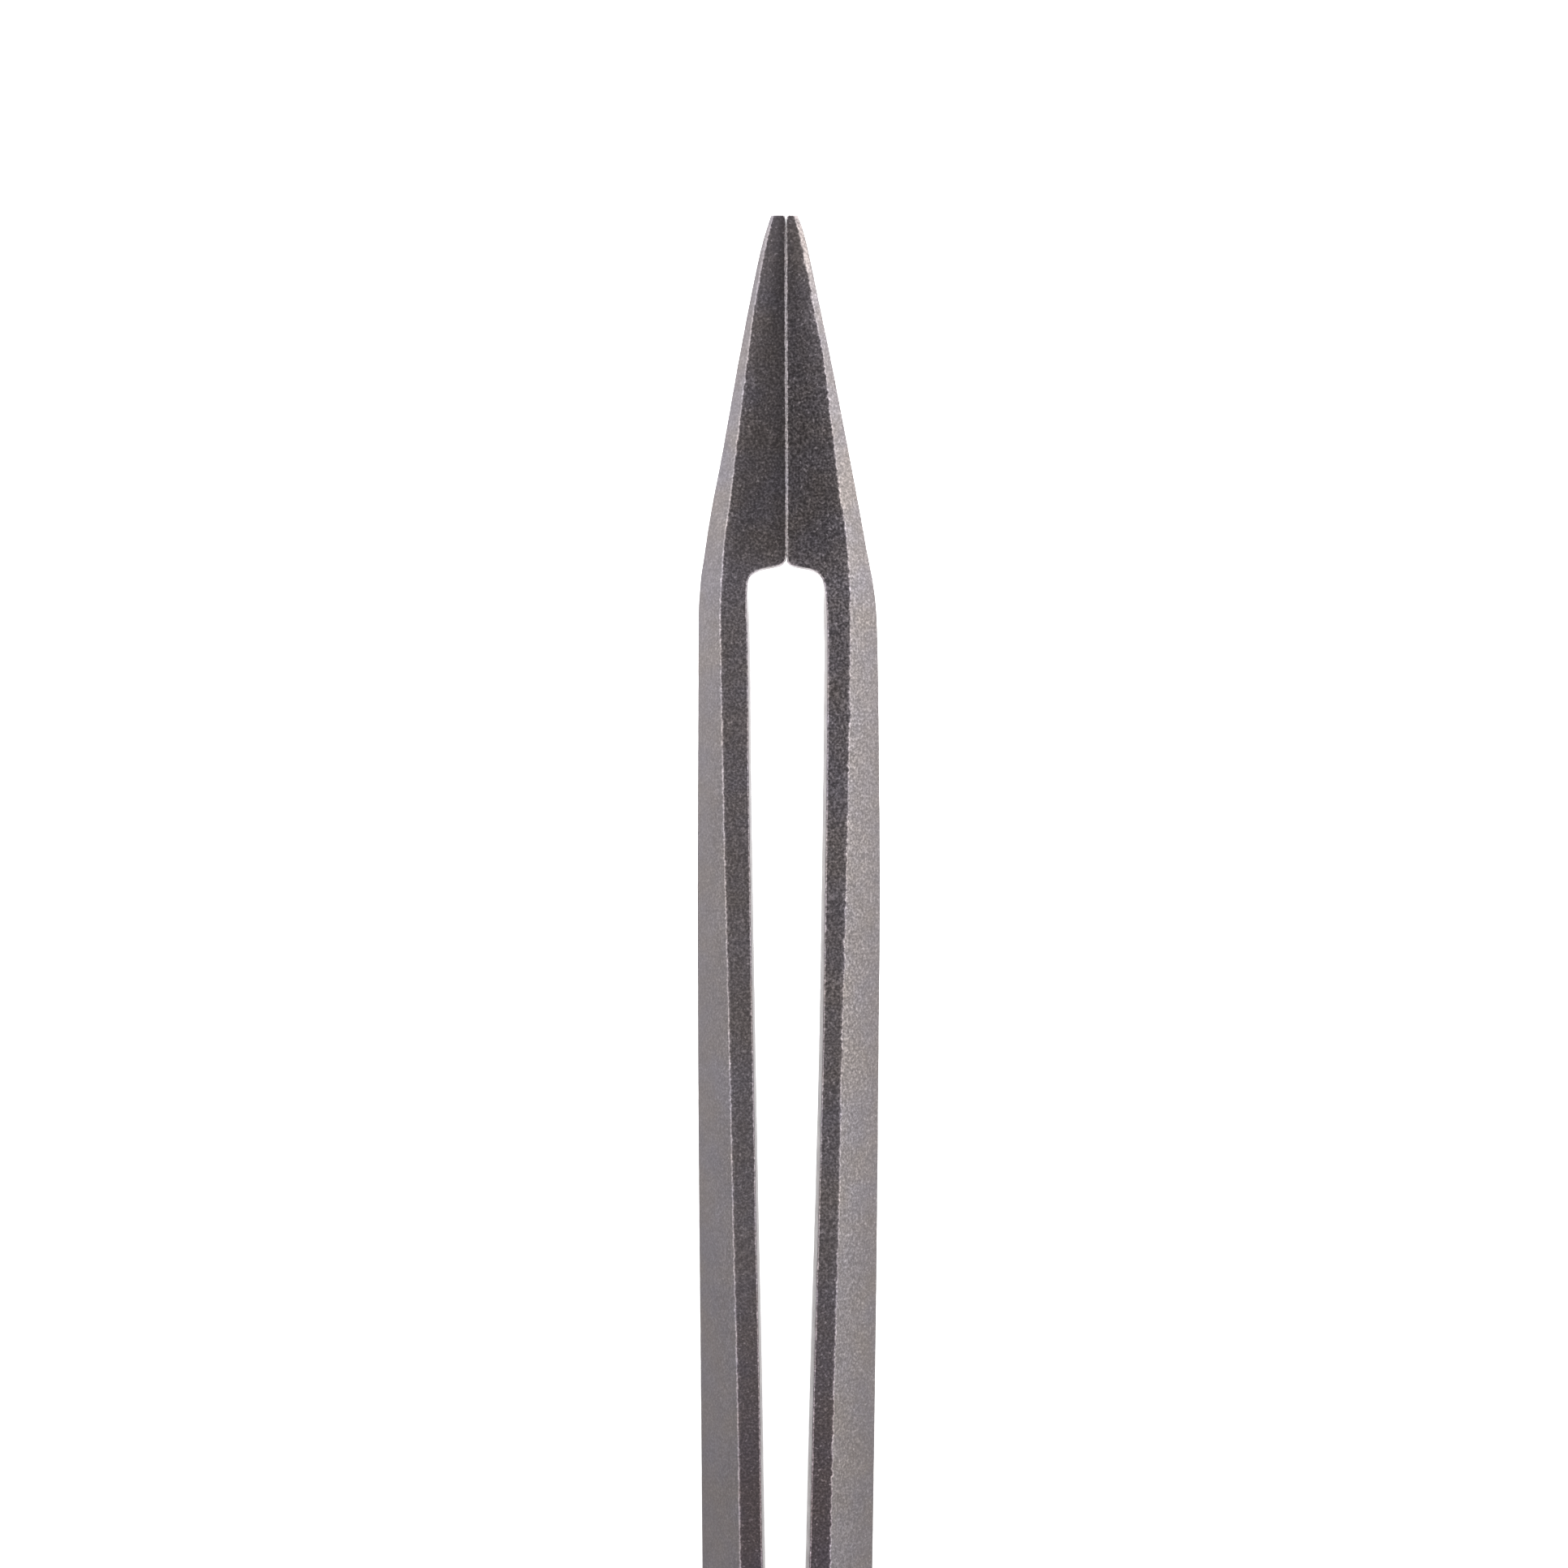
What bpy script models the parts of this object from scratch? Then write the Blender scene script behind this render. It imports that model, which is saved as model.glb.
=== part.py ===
"""Precision tweezers with a long slot between the arms, lying on their back edges.

Frame: metres, +Z up.  The tool lies along Y with its tips at +Y and its heel
at -Y.  The left arm is at -X and the right arm at +X.  The origin is the
middle of the tool's underside.  The arms are drawn squeezed shut, which is the
zero of both flexure joints; they spring open about vertical axes in the thin
leaves just ahead of the heel.

Every profile below is read at a station s, the distance from the tips in
millimetres, so a point's world Y is LENGTH / 2 - s.
"""
import math

import bmesh
import bpy
from mathutils import Matrix, Vector

MM = 0.001

# ---------------------------------------------------------------- dimensions
LENGTH = 110.0            # tips to heel
HALF_DEPTH = 4.0          # half of the tool's depth along Z at its deepest
LEAF_INNER = 0.42         # inner face of each spring leaf, from the mid plane
LEAF_THICKNESS = 0.60     # spring leaf
LEAF_FROM = 84.0          # the slot walls are flat from here to the heel
LEAF_EDGE = 0.10          # broken outer edges of the leaf
SPACER_FROM = 96.0        # front edge of the heel spacer
SPACER_HALF_THICKNESS = 0.40
FLEX_AT = 90.0            # middle of the free leaf: the flexure axis
SPLIT_GAP = 0.06          # cut between each arm and its tail, at the flexure axis
HEEL_CORNER = 2.6         # corner radius of the heel's end, seen from the side
RIDGE_HALF_FLAT = 0.10    # blunt line along the outer ridge
EDGE = 0.06               # broken inner edges
JAW_CLEARANCE = 0.015     # each jaw face to the mid plane
RIVET_AT = (99.6, 105.4)  # stations of the two heel rivets
RIVET_RADIUS = 0.80
RIVET_HOLE_RADIUS = 0.84
RIVET_HEAD_RADIUS = 1.35
RIVET_HEAD_HEIGHT = 0.36
RIVET_CLEARANCE = 0.02    # under each head

# (station, half depth along Z): the front and back lands fall away to the tips
DEPTH = ((0.0, 0.26), (6.0, 0.75), (11.7, 1.30), (14.5, 1.76), (17.3, 2.32),
         (22.0, 2.69), (29.0, 3.05), (36.0, 3.49), (43.0, 3.80), (49.0, 4.00),
         (86.0, 4.00), (93.0, 3.60), (110.0, 3.60))

# (station, distance from the mid plane) of each arm's outer ridge
RIDGE = {
    "left": ((0.0, 0.64), (1.2, 1.01), (3.3, 1.47), (6.5, 2.08), (10.4, 2.77),
             (13.2, 3.30), (14.65, 3.52), (16.0, 3.71), (17.5, 3.79),
             (22.4, 3.81), (29.5, 3.83), (36.5, 3.81), (43.6, 3.76),
             (50.7, 3.69), (58.8, 3.62), (70.0, 3.50), (110.0, 3.30)),
    "right": ((0.0, 0.52), (0.5, 0.72), (1.2, 0.91), (3.3, 1.36), (6.5, 2.02),
              (10.4, 2.77), (13.2, 3.29), (14.65, 3.55), (16.0, 3.81),
              (17.5, 3.97), (22.4, 4.06), (29.5, 4.11), (36.5, 4.05),
              (43.6, 3.985), (50.7, 3.895), (58.8, 3.775), (70.0, 3.58),
              (110.0, 3.30)),
}

# the corner between each arm's land and its outer facet
LAND = {
    "left": ((0.0, 0.50), (0.3, 0.60), (0.7, 0.71), (1.1, 0.81), (2.0, 1.01),
             (3.0, 1.19), (4.0, 1.365), (5.2, 1.53), (6.5, 1.69), (8.2, 1.91),
             (10.3, 2.16), (12.4, 2.41), (14.6, 2.70), (17.5, 2.85),
             (22.4, 2.77), (29.5, 2.62), (36.5, 2.44), (43.5, 2.29),
             (50.4, 2.11), (57.4, 1.99), (68.0, 1.81), (82.0, 1.62),
             (110.0, 1.40)),
    "right": ((0.0, 0.36), (0.3, 0.43), (0.7, 0.54), (1.1, 0.65), (2.0, 0.83),
              (3.0, 1.04), (4.0, 1.20), (5.2, 1.46), (6.5, 1.68), (8.2, 1.89),
              (10.3, 2.13), (12.4, 2.39), (14.6, 2.69), (17.5, 2.81),
              (22.4, 2.76), (29.5, 2.62), (36.5, 2.43), (43.5, 2.30),
              (50.4, 2.11), (57.4, 1.95), (68.0, 1.80), (82.0, 1.64),
              (110.0, 1.40)),
}

# the flat ground across the outer ridge, which thins each arm into its leaf
TAPER = ((52.0, 4.25), (58.8, 3.86), (63.0, 3.58), (68.0, 3.12), (74.0, 2.42),
         (79.0, 1.76), (83.0, 1.28), (86.0, 1.06),
         (88.0, LEAF_INNER + LEAF_THICKNESS),
         (110.0, LEAF_INNER + LEAF_THICKNESS))

# the inner edge of each land: jaw face, shoulder, slot wall, spring leaf
SHOULDER = {
    "left": ((15.00, 0.02), (15.14, 0.08), (15.22, 0.18), (15.28, 0.36),
             (15.34, 0.65), (15.41, 0.98), (15.49, 1.21), (15.59, 1.38),
             (15.71, 1.51), (15.88, 1.61), (16.04, 1.65), (16.30, 1.67)),
    "right": ((15.00, 0.02), (15.15, 0.08), (15.22, 0.18), (15.28, 0.34),
              (15.34, 0.62), (15.41, 1.00), (15.49, 1.23), (15.59, 1.38),
              (15.71, 1.49), (15.88, 1.60), (16.04, 1.65), (16.30, 1.71)),
}
SLOT = {
    "left": ((16.8, 1.69), (18.2, 1.65), (20.8, 1.613), (22.9, 1.605),
             (29.5, 1.52), (36.5, 1.40), (43.5, 1.27), (50.4, 1.13),
             (58.5, 1.00), (68.0, 0.78), (78.0, 0.59), (86.0, 0.47),
             (92.0, LEAF_INNER), (110.0, LEAF_INNER)),
    "right": ((16.8, 1.76), (18.9, 1.82), (22.4, 1.80), (29.5, 1.715),
              (36.5, 1.60), (43.5, 1.42), (50.4, 1.22), (58.5, 1.03),
              (68.0, 0.80), (78.0, 0.60), (86.0, 0.47), (92.0, LEAF_INNER),
              (110.0, LEAF_INNER)),
}
CROWN = {"left": 0.10, "right": 0.155}   # the slot walls bulge by this much


# ------------------------------------------------------------------- helpers
def smooth_table(table):
    """A function through the table's points that never overshoots them."""
    xs = [p[0] for p in table]
    ys = [p[1] for p in table]
    step = [xs[i + 1] - xs[i] for i in range(len(xs) - 1)]
    rise = [(ys[i + 1] - ys[i]) / step[i] for i in range(len(step))]
    slope = [rise[0]]
    for i in range(1, len(rise)):
        if rise[i - 1] * rise[i] <= 0.0:
            slope.append(0.0)
        else:
            a = 2.0 * step[i] + step[i - 1]
            b = step[i] + 2.0 * step[i - 1]
            slope.append((a + b) / (a / rise[i - 1] + b / rise[i]))
    slope.append(rise[-1])

    def value(x):
        if x <= xs[0]:
            return ys[0]
        if x >= xs[-1]:
            return ys[-1]
        i = max(k for k in range(len(step)) if xs[k] <= x)
        t = (x - xs[i]) / step[i]
        return (ys[i] * (1 + 2 * t) * (1 - t) ** 2
                + step[i] * slope[i] * t * (1 - t) ** 2
                + ys[i + 1] * t * t * (3 - 2 * t)
                + step[i] * slope[i + 1] * t * t * (t - 1))

    return value


def ease(x, a, b):
    t = min(1.0, max(0.0, (x - a) / (b - a)))
    return t * t * (3 - 2 * t)


depth_of = smooth_table(DEPTH)
ridge_of = {k: smooth_table(v) for k, v in RIDGE.items()}
land_of = {k: smooth_table(v) for k, v in LAND.items()}
taper_of = smooth_table(TAPER)
inner_of = {k: smooth_table(((0.0, 0.06), (0.30, JAW_CLEARANCE),
                             (14.85, JAW_CLEARANCE)) + SHOULDER[k] + SLOT[k])
            for k in SLOT}


def half_depth(s):
    """Half of the depth along Z, with the heel's end corners rounded off."""
    h = depth_of(s)
    past = s - (LENGTH - HEEL_CORNER)
    if past > 0.0:
        h -= HEEL_CORNER - math.sqrt(max(0.0, HEEL_CORNER ** 2 - past ** 2))
    return h


def world_y(s):
    return (LENGTH / 2 - s) * MM


def section(side, s):
    """The outline of one arm at station s as (distance from mid plane, z)."""
    g, f, w = inner_of[side](s), land_of[side](s), ridge_of[side](s)
    h = half_depth(s)
    e = min(EDGE, 0.18 * (f - g), 0.3 * h)
    r = min(RIDGE_HALF_FLAT, 0.35 * h)
    cut = taper_of(s)
    if cut < w:
        # the taper meets the two outer facets this far from the mid depth
        r = max(r, min(h * (w - cut) / (w - f), h - LEAF_EDGE))
        w = cut
        f = min(f, cut - LEAF_EDGE)
    crown = CROWN[side] * ease(s, 15.4, 17.5) * (1 - ease(s, 74.0, LEAF_FROM))
    return [(g, -(h - e)), (g + e, -h), (f, -h), (w, -r), (w, r), (f, h),
            (g + e, h), (g, h - e), (g - crown, 0.0)]


def loft(name, side, stations):
    """A closed solid through one arm's sections, tips first."""
    sign = -1.0 if side == "left" else 1.0
    bm = bmesh.new()
    rings = []
    for s in stations:
        rings.append([bm.verts.new((sign * x * MM, world_y(s),
                                    (HALF_DEPTH + z) * MM))
                      for x, z in section(side, s)])
    count = len(rings[0])
    for a, b in zip(rings, rings[1:]):
        for i in range(count):
            j = (i + 1) % count
            bm.faces.new((a[i], a[j], b[j], b[i]))
    bm.faces.new(rings[0])
    bm.faces.new(rings[-1])
    bmesh.ops.recalc_face_normals(bm, faces=bm.faces)
    # lofted quads are slightly warped, so they are split into flat triangles
    bmesh.ops.triangulate(bm, faces=bm.faces[:])
    mesh = bpy.data.meshes.new(name)
    bm.to_mesh(mesh)
    bm.free()
    return mesh


def new_object(name, mesh, material, origin=(0.0, 0.0, 0.0), parent=None):
    """Adds an object whose mesh is given in world coordinates."""
    mesh.transform(Matrix.Translation(-Vector(origin)))
    mesh.materials.append(material)
    obj = bpy.data.objects.new(name, mesh)
    bpy.context.scene.collection.objects.link(obj)
    obj.location = origin
    if parent is not None:
        obj.parent = parent
        obj.location = Vector(origin) - parent.location
    return obj


def metal(name, colour, roughness):
    mat = bpy.data.materials.new(name)
    mat.use_nodes = True
    shader = mat.node_tree.nodes["Principled BSDF"]
    shader.inputs["Base Color"].default_value = (*colour, 1.0)
    shader.inputs["Metallic"].default_value = 1.0
    shader.inputs["Roughness"].default_value = roughness
    return mat


def rivet_cutter(name, s, radius):
    """A guide cylinder along X that drills the heel for one rivet."""
    bpy.ops.mesh.primitive_cylinder_add(
        vertices=24, radius=radius * MM, depth=12 * MM,
        location=(0.0, world_y(s), HALF_DEPTH * MM),
        rotation=(0.0, math.radians(90), 0.0))
    cutter = bpy.context.object
    cutter.name = name
    cutter.hide_render = True
    cutter.display_type = "WIRE"
    return cutter


def drill(obj, cutters):
    for cutter in cutters:
        cut = obj.modifiers.new("rivet_hole", "BOOLEAN")
        cut.operation = "DIFFERENCE"
        cut.solver = "EXACT"
        cut.object = cutter


def rivet(name, s, material):
    """A round rivet along X: a shank and two low domed heads."""
    grip = LEAF_INNER + LEAF_THICKNESS + RIVET_CLEARANCE
    dome = []
    for k in range(5):
        a = math.radians(90 * k / 5)
        dome.append((grip + 0.10 + (RIVET_HEAD_HEIGHT - 0.10) * math.sin(a),
                     RIVET_HEAD_RADIUS * math.cos(a)))
    half = [(grip, RIVET_RADIUS), (grip, RIVET_HEAD_RADIUS)] + dome
    tip = grip + RIVET_HEAD_HEIGHT
    profile = [(-tip, 0.0)] + [(-x, r) for x, r in reversed(half)] + half
    profile.append((tip, 0.0))
    bm = bmesh.new()
    around = 24
    rings = []
    for x, r in profile:
        if r == 0.0:
            rings.append([bm.verts.new((x * MM, 0.0, 0.0))])
            continue
        rings.append([bm.verts.new((x * MM,
                                    r * MM * math.cos(2 * math.pi * i / around),
                                    r * MM * math.sin(2 * math.pi * i / around)))
                      for i in range(around)])
    for a, b in zip(rings, rings[1:]):
        for i in range(around):
            j = (i + 1) % around
            if len(a) == 1:
                bm.faces.new((a[0], b[j], b[i]))
            elif len(b) == 1:
                bm.faces.new((a[i], a[j], b[0]))
            else:
                bm.faces.new((a[i], a[j], b[j], b[i]))
    bmesh.ops.recalc_face_normals(bm, faces=bm.faces)
    bmesh.ops.translate(bm, verts=bm.verts,
                        vec=(0.0, world_y(s), HALF_DEPTH * MM))
    mesh = bpy.data.meshes.new(name)
    bm.to_mesh(mesh)
    bm.free()
    obj = new_object(name, mesh, material,
                     (0.0, world_y(s), HALF_DEPTH * MM))
    mesh.shade_smooth()
    mesh.set_sharp_from_angle(angle=math.radians(35))
    return obj


def spacer_mesh():
    """The heel spacer: a thin plate with a hollowed front edge."""
    outline = []
    inset = 0.03
    top = depth_of(LENGTH) - inset
    # front edge, a shallow hollow arc from bottom to top
    for k in range(13):
        z = -top + 2 * top * k / 12
        outline.append((SPACER_FROM + 1.1 * (1 - (z / top) ** 2), z))
    # rounded end corners
    corner = HEEL_CORNER
    for k in range(7):
        a = math.radians(90 * k / 6)
        outline.append((LENGTH - inset - corner + corner * math.sin(a),
                        top - corner + corner * math.cos(a)))
    for k in range(7):
        a = math.radians(90 * k / 6)
        outline.append((LENGTH - inset - corner + corner * math.cos(a),
                        -(top - corner) - corner * math.sin(a)))
    bm = bmesh.new()
    sides = []
    for x in (-SPACER_HALF_THICKNESS, SPACER_HALF_THICKNESS):
        sides.append([bm.verts.new((x * MM, world_y(s), (HALF_DEPTH + z) * MM))
                      for s, z in outline])
    n = len(outline)
    bm.faces.new(sides[0])
    bm.faces.new(list(reversed(sides[1])))
    for i in range(n):
        j = (i + 1) % n
        bm.faces.new((sides[0][j], sides[0][i], sides[1][i], sides[1][j]))
    bmesh.ops.recalc_face_normals(bm, faces=bm.faces)
    mesh = bpy.data.meshes.new("heel_spacer")
    bm.to_mesh(mesh)
    bm.free()
    return mesh


def spread(a, b, n):
    return [a + (b - a) * i / n for i in range(n)]


# --------------------------------------------------------------------- model
for old in list(bpy.data.objects):
    bpy.data.objects.remove(old, do_unlink=True)

blasted_left = metal("blasted_steel_left", (0.24, 0.225, 0.23), 0.55)
blasted_right = metal("blasted_steel_right", (0.26, 0.245, 0.25), 0.55)
blasted_heel = metal("blasted_steel_heel", (0.25, 0.235, 0.24), 0.55)
spacer_steel = metal("spacer_steel", (0.20, 0.19, 0.195), 0.50)
rivet_steel = metal("rivet_steel", (0.34, 0.32, 0.325), 0.38)

ARM_STATIONS = ([0.0, 0.30, 1.2, 3.3, 6.5, 10.4, 13.2, 14.85]
                + [15.00, 15.14, 15.22, 15.28, 15.34, 15.41, 15.59, 15.88]
                + [16.30]
                + [16.8, 17.5, 19.4, 22.4, 26.0, 29.5, 36.5, 43.5]
                + [49.0, 54.0, 58.8, 61.0, 63.0, 65.5, 68.0, 71.0, 74.0, 76.5]
                + [79.0, 80.5, 82.0, 83.0, 84.5, 86.0, 88.0]
                + [FLEX_AT - SPLIT_GAP / 2])
TAIL_STATIONS = ([FLEX_AT + SPLIT_GAP / 2, 92.0, 93.0]
                 + [LENGTH - HEEL_CORNER]
                 + [LENGTH - HEEL_CORNER * (1 - math.sin(math.radians(a)))
                    for a in (20, 40, 58, 74)]
                 + [LENGTH - 0.002])

cutters = [rivet_cutter("guide_rivet_front", RIVET_AT[0], RIVET_HOLE_RADIUS),
           rivet_cutter("guide_rivet_rear", RIVET_AT[1], RIVET_HOLE_RADIUS)]

for side, material in (("left", blasted_left), ("right", blasted_right)):
    sign = -1.0 if side == "left" else 1.0
    axis_x = sign * (LEAF_INNER + LEAF_THICKNESS / 2) * MM
    axis = bpy.data.objects.new(side + "_flexure_axis", None)
    bpy.context.scene.collection.objects.link(axis)
    axis.location = (axis_x, world_y(FLEX_AT), HALF_DEPTH * MM)
    new_object(side + "_arm", loft(side + "_arm", side, ARM_STATIONS),
               material, tuple(axis.location), axis)
    tail = new_object(side + "_tail", loft(side + "_tail", side, TAIL_STATIONS),
                      blasted_heel)
    drill(tail, cutters)

spacer = new_object("heel_spacer", spacer_mesh(), spacer_steel)
drill(spacer, cutters)

rivet("front_rivet", RIVET_AT[0], rivet_steel)
rivet("rear_rivet", RIVET_AT[1], rivet_steel)
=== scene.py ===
"""Looks of the fine-point tweezers: the two bead-blasted arms as continuous,
finely meshed bars, the heel spacer and the rivets,
with procedural metal, a plain pale floor, soft light and the camera.

Lengths in the tables are millimetres; s is the distance back from the tips.
"""
import math

import bmesh
import bpy
import numpy as np
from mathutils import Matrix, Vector, noise


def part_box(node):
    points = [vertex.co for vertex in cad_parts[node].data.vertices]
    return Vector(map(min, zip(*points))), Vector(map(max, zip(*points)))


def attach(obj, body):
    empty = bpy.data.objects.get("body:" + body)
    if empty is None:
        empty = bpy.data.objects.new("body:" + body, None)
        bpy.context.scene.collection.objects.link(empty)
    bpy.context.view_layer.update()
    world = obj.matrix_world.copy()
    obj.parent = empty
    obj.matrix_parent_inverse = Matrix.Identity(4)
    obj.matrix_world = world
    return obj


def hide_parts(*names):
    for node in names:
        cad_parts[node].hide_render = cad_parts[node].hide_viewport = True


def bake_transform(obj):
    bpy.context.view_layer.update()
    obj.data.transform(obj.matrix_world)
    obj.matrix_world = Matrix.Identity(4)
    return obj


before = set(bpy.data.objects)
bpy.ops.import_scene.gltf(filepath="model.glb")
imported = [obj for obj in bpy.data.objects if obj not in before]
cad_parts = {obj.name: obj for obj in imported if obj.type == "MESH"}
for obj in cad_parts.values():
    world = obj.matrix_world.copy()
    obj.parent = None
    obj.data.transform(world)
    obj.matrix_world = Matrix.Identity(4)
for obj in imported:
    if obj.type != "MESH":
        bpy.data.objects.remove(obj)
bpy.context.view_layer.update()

MM = 0.001
arm_lo, arm_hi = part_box("left_arm")
right_lo, right_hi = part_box("right_arm")
tail_lo, tail_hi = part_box("left_tail")
spacer_lo, spacer_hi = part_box("heel_spacer")

TIP_Y = arm_hi[1]                              # metres
LENGTH = (TIP_Y - tail_lo[1]) / MM
MID_Z = 0.5 * (arm_lo[2] + arm_hi[2])
HALF_DEPTH = 0.5 * (arm_hi[2] - arm_lo[2]) / MM
LEAF_INNER = -tail_hi[0] / MM
LEAF_OUTER = -tail_lo[0] / MM
LEAF_FROM = 84.0
HEEL_CORNER = 2.6
LEAF_EDGE = 0.10
RIDGE_HALF_FLAT = 0.10

DEPTH = ((0.0, 0.26), (6.0, 0.75), (11.7, 1.30), (14.5, 1.76), (17.3, 2.32),
         (22.0, 2.69), (29.0, 3.05), (36.0, 3.49), (43.0, 3.80),
         (49.0, HALF_DEPTH), (86.0, HALF_DEPTH), (93.0, 3.60), (110.0, 3.60))
RIDGE = {
    "left": ((0.0, 0.64), (1.2, 1.01), (3.3, 1.47), (6.5, 2.08), (10.4, 2.77),
             (13.2, 3.30), (14.65, 3.52), (16.0, 3.71), (17.5, 3.79),
             (22.4, 3.81), (29.5, 3.83), (36.5, 3.81), (43.6, 3.76),
             (50.7, 3.69), (58.8, 3.62), (70.0, 3.50), (110.0, 3.30)),
    "right": ((0.0, 0.52), (0.5, 0.72), (1.2, 0.91), (3.3, 1.36), (6.5, 2.02),
              (10.4, 2.77), (13.2, 3.29), (14.65, 3.55), (16.0, 3.81),
              (17.5, 3.97), (22.4, 4.06), (29.5, 4.11), (36.5, 4.05),
              (43.6, 3.985), (50.7, 3.895), (58.8, 3.775), (70.0, 3.58),
              (110.0, 3.30)),
}
LAND = {
    "left": ((0.0, 0.50), (0.3, 0.60), (0.7, 0.71), (1.1, 0.81), (2.0, 1.01),
             (3.0, 1.19), (4.0, 1.365), (5.2, 1.53), (6.5, 1.69), (8.2, 1.91),
             (10.3, 2.16), (12.4, 2.41), (14.6, 2.70), (17.5, 2.85),
             (22.4, 2.77), (29.5, 2.62), (36.5, 2.44), (43.5, 2.29),
             (50.4, 2.11), (57.4, 1.99), (68.0, 1.81), (82.0, 1.62),
             (110.0, 1.40)),
    "right": ((0.0, 0.36), (0.3, 0.43), (0.7, 0.54), (1.1, 0.65), (2.0, 0.83),
              (3.0, 1.04), (4.0, 1.20), (5.2, 1.46), (6.5, 1.68), (8.2, 1.89),
              (10.3, 2.13), (12.4, 2.39), (14.6, 2.69), (17.5, 2.81),
              (22.4, 2.76), (29.5, 2.62), (36.5, 2.43), (43.5, 2.30),
              (50.4, 2.11), (57.4, 1.95), (68.0, 1.80), (82.0, 1.64),
              (110.0, 1.40)),
}
TAPER = ((52.0, 4.25), (58.8, 3.86), (63.0, 3.58), (68.0, 3.12), (74.0, 2.42),
         (79.0, 1.76), (83.0, 1.28), (86.0, 1.06), (88.0, LEAF_OUTER),
         (110.0, LEAF_OUTER))
JAW = {
    "left": ((0.0, 0.085), (0.10, 0.032), (0.28, 0.006), (0.55, 0.0015),
             (6.0, 0.0025), (14.75, 0.0025), (15.00, 0.02), (15.14, 0.08),
             (15.22, 0.18), (15.28, 0.36), (15.34, 0.65), (15.41, 0.98),
             (15.49, 1.21), (15.59, 1.38), (15.71, 1.51), (15.88, 1.61),
             (16.04, 1.65), (16.30, 1.67)),
    "right": ((0.0, 0.085), (0.10, 0.032), (0.28, 0.006), (0.55, 0.0015),
              (6.0, 0.0025), (14.75, 0.0025), (15.00, 0.02), (15.15, 0.08),
              (15.22, 0.18), (15.28, 0.34), (15.34, 0.62), (15.41, 1.00),
              (15.49, 1.23), (15.59, 1.38), (15.71, 1.49), (15.88, 1.60),
              (16.04, 1.65), (16.30, 1.71)),
}
SLOT = {
    "left": ((16.8, 1.69), (18.2, 1.65), (20.8, 1.613), (22.9, 1.605),
             (29.5, 1.52), (36.5, 1.40), (43.5, 1.27), (50.4, 1.13),
             (58.5, 1.00), (68.0, 0.78), (78.0, 0.59), (86.0, 0.47),
             (92.0, LEAF_INNER), (110.0, LEAF_INNER)),
    "right": ((16.8, 1.76), (18.9, 1.82), (22.4, 1.80), (29.5, 1.715),
              (36.5, 1.60), (43.5, 1.42), (50.4, 1.22), (58.5, 1.03),
              (68.0, 0.80), (78.0, 0.60), (86.0, 0.47), (92.0, LEAF_INNER),
              (110.0, LEAF_INNER)),
}
CROWN = {"left": 0.10, "right": 0.155}
RIVET_AT = tuple((TIP_Y - 0.5 * (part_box(n)[0][1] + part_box(n)[1][1])) / MM
                 for n in ("front_rivet", "rear_rivet"))


# ----------------------------------------------------------------- brightness
GLOW_BOTTOM, GLOW_TOP = 1.00, 2.1     # table glow near the frame's two ends
GLOW_RIGHT = 1.56                     # on the right of the tool, against the left
SKY_HORIZON, SKY_ZENITH = 3.2, 0.52
SKY_LOW, SKY_HIGH = 0.08, 0.50        # sines of the height where the sky changes


# ------------------------------------------------------------------- camera
# looks straight down on the tool's edge, tips up in the frame
VIEW_MM = 67.62          # width of the view at the height of the upper lands
DISTANCE = 0.420         # from the upper lands
cam_data = bpy.data.cameras.new("photo_camera")
cam = bpy.data.objects.new("photo_camera", cam_data)
bpy.context.scene.collection.objects.link(cam)
cam_data.sensor_width = 36.0
cam_data.lens = 36.0 * DISTANCE / (VIEW_MM * MM)
cam_data.clip_start = 0.01
cam_data.clip_end = 20.0
cam.location = (-0.00007, TIP_Y - 0.024753, arm_hi[2] + DISTANCE)
cam.rotation_euler = (0.0, 0.0, 0.0)
bpy.context.scene.camera = cam


# ------------------------------------------------------------------- profiles
WAVER_REACH = 0.8                      # how far a corner's waver shows, mm


def smooth_table(table):
    """A function through the table's points that never overshoots them."""
    xs = [p[0] for p in table]
    ys = [p[1] for p in table]
    step = [xs[i + 1] - xs[i] for i in range(len(xs) - 1)]
    rise = [(ys[i + 1] - ys[i]) / step[i] for i in range(len(step))]
    slope = [rise[0]]
    for i in range(1, len(rise)):
        if rise[i - 1] * rise[i] <= 0.0:
            slope.append(0.0)
        else:
            a = 2.0 * step[i] + step[i - 1]
            b = step[i] + 2.0 * step[i - 1]
            slope.append((a + b) / (a / rise[i - 1] + b / rise[i]))
    slope.append(rise[-1])

    def value(x):
        if x <= xs[0]:
            return ys[0]
        if x >= xs[-1]:
            return ys[-1]
        i = max(k for k in range(len(step)) if xs[k] <= x)
        t = (x - xs[i]) / step[i]
        return (ys[i] * (1 + 2 * t) * (1 - t) ** 2
                + step[i] * slope[i] * t * (1 - t) ** 2
                + ys[i + 1] * t * t * (3 - 2 * t)
                + step[i] * slope[i + 1] * t * t * (t - 1))

    return value


def ease(x, a, b):
    t = min(1.0, max(0.0, (x - a) / (b - a)))
    return t * t * (3 - 2 * t)


depth_of = smooth_table(DEPTH)
ridge_of = {k: smooth_table(v) for k, v in RIDGE.items()}
land_of = {k: smooth_table(v) for k, v in LAND.items()}
taper_of = smooth_table(TAPER)
inner_of = {k: smooth_table(JAW[k] + SLOT[k]) for k in SLOT}


def half_depth(s):
    h = depth_of(s)
    past = s - (LENGTH - HEEL_CORNER)
    if past > 0.0:
        h -= HEEL_CORNER - math.sqrt(max(0.0, HEEL_CORNER ** 2 - past ** 2))
    return h


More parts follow.
